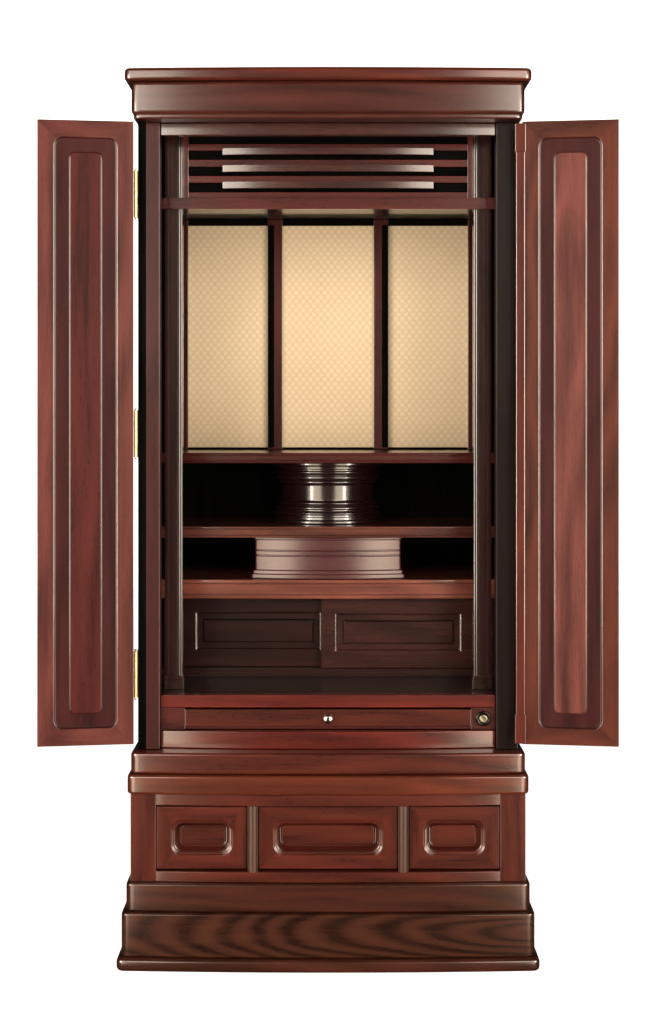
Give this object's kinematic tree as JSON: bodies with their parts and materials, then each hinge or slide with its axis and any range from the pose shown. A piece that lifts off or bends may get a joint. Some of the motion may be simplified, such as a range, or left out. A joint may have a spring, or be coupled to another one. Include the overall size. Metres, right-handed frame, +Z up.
{
  "type": "household altar cabinet (butsudan)",
  "caption": "Tall two-part household altar cabinet with folding carved doors, stepped pedestals and shelves inside, a slide-out tray and drawers with finger dishes.",
  "frame": {"origin": "on the floor under the middle of the overall box", "axes": "+X to the viewer's right, +Y to the back, +Z up; the front faces -Y"},
  "size_m": [0.8522, 0.48, 1.3025],
  "materials": {
    "rosewood": "clear gloss lacquer over dark red straight-grained wood",
    "lacquer": "near-black high-gloss lacquer",
    "pale_wood": "plain light wood of the drawer boxes",
    "brocade": "gold woven brocade",
    "brass": "polished",
    "steel": "bright turned"
  },
  "bodies": {
    "cabinet": {"altar_floor": "lacquer", "back_frame": "rosewood", "back_panel": "brocade", "base_plate": "rosewood", "bowed_rail": "rosewood", "ceiling": "lacquer", "frieze": "rosewood", "front_rail": "rosewood", "header": "rosewood", "hinge_left_bottom": "brass", "hinge_left_middle": "brass", "hinge_left_top": "brass", "hinge_right_bottom": "brass", "hinge_right_middle": "brass", "hinge_right_top": "brass", "lintel": "rosewood", "lower_bottom": "rosewood", "lower_case": "rosewood", "lower_divider_left": "rosewood", "lower_divider_right": "rosewood", "lower_face": "rosewood", "lower_top": "rosewood", "pedestal_lower": "rosewood", "pedestal_upper": "rosewood", "pillar_left": "rosewood", "pillar_right": "rosewood", "plinth_lower": "rosewood", "plinth_upper": "rosewood", "post_left": "rosewood", "post_right": "rosewood", "shelf_lower": "rosewood", "shelf_middle": "rosewood", "shelf_upper": "rosewood", "switch_knob": "steel", "top_board": "rosewood", "track": "rosewood", "transom": "rosewood", "transom_slat_1": "rosewood", "transom_slat_2": "rosewood", "transom_slat_3": "rosewood", "tray_frame": "rosewood", "upper_base": "rosewood", "upper_case": "rosewood"},
    "drawer_left": {"drawer_left_front": "rosewood", "drawer_left_box": "pale_wood"},
    "drawer_centre": {"drawer_centre_front": "rosewood", "drawer_centre_box": "pale_wood"},
    "drawer_right": {"drawer_right_front": "rosewood", "drawer_right_box": "pale_wood"},
    "tray": {"tray_front": "rosewood", "tray_box": "pale_wood", "tray_knob": "steel"},
    "slide_left": {"slide_door_left": "rosewood"},
    "slide_right": {"slide_door_right": "rosewood"},
    "leaf_left_outer": {"door_left_outer": "rosewood"},
    "leaf_left_inner": {"door_left_inner": "rosewood"},
    "leaf_right_outer": {"door_right_outer": "rosewood"},
    "leaf_right_inner": {"door_right_inner": "rosewood", "astragal": "rosewood"}
  },
  "joints": [
    {"name": "left_outer", "type": "hinge", "parent": "cabinet", "child": "leaf_left_outer", "pos_m": [-0.2825, -0.18, 0.775], "axis": [0, 0, -1], "range_deg": [-171.3, 0]},
    {"name": "left_inner", "type": "hinge", "parent": "leaf_left_outer", "child": "leaf_left_inner", "pos_m": [-0.42361, -0.20159, 0.775], "axis": [0, 0, -1], "range_deg": [0, 180]},
    {"name": "right_outer", "type": "hinge", "parent": "cabinet", "child": "leaf_right_outer", "pos_m": [0.2825, -0.18, 0.775], "axis": [0, 0, 1], "range_deg": [-171.3, 0]},
    {"name": "right_inner", "type": "hinge", "parent": "leaf_right_outer", "child": "leaf_right_inner", "pos_m": [0.42361, -0.20159, 0.775], "axis": [0, 0, 1], "range_deg": [0, 180]},
    {"name": "left_drawer", "type": "slide", "parent": "cabinet", "child": "drawer_left", "axis": [0, -1, 0], "range_m": [0, 0.3]},
    {"name": "centre_drawer", "type": "slide", "parent": "cabinet", "child": "drawer_centre", "axis": [0, -1, 0], "range_m": [0, 0.3]},
    {"name": "right_drawer", "type": "slide", "parent": "cabinet", "child": "drawer_right", "axis": [0, -1, 0], "range_m": [0, 0.3]},
    {"name": "tray_slide", "type": "slide", "parent": "cabinet", "child": "tray", "axis": [0, -1, 0], "range_m": [0, 0.24]},
    {"name": "left_slide", "type": "slide", "parent": "cabinet", "child": "slide_left", "axis": [1, 0, 0], "range_m": [0, 0.2505]},
    {"name": "right_slide", "type": "slide", "parent": "cabinet", "child": "slide_right", "axis": [-1, 0, 0], "range_m": [0, 0.2505]}
  ],
  "couplings": [
    {"joint": "left_inner", "follows": "left_outer", "ratio": -1.0507},
    {"joint": "right_inner", "follows": "right_outer", "ratio": -1.0507}
  ]
}
